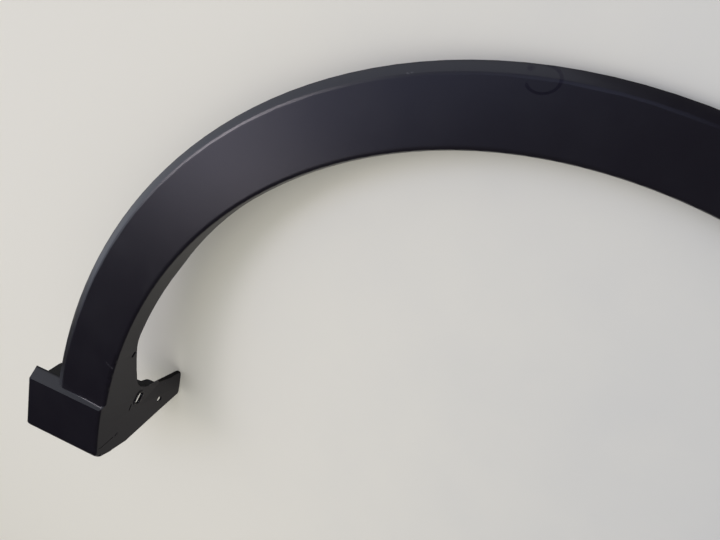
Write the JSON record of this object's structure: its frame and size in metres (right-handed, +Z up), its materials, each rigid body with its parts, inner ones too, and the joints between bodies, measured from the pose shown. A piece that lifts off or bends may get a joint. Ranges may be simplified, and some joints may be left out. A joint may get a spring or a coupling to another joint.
{
  "type": "wheel arch trim",
  "caption": "Moulded black wheel arch trim: a curved band with a return flange round the opening, a raised foot and a fixing tail at one end, and clip towers behind.",
  "frame": {"origin": "centre of the base of the box round the trim, on the floor that it lies on, face up", "axes": "+X along the car from the foot with the tail to the plain end, +Y towards the crown of the arch, +Z up from the floor, about 12 degrees off the band's outward direction"},
  "size_m": [0.9008, 0.4344, 0.1378],
  "materials": {
    "trim": "fine-grained satin black"
  },
  "bodies": {
    "root": {"wheel_arch_trim": "trim"}
  },
  "joints": []
}
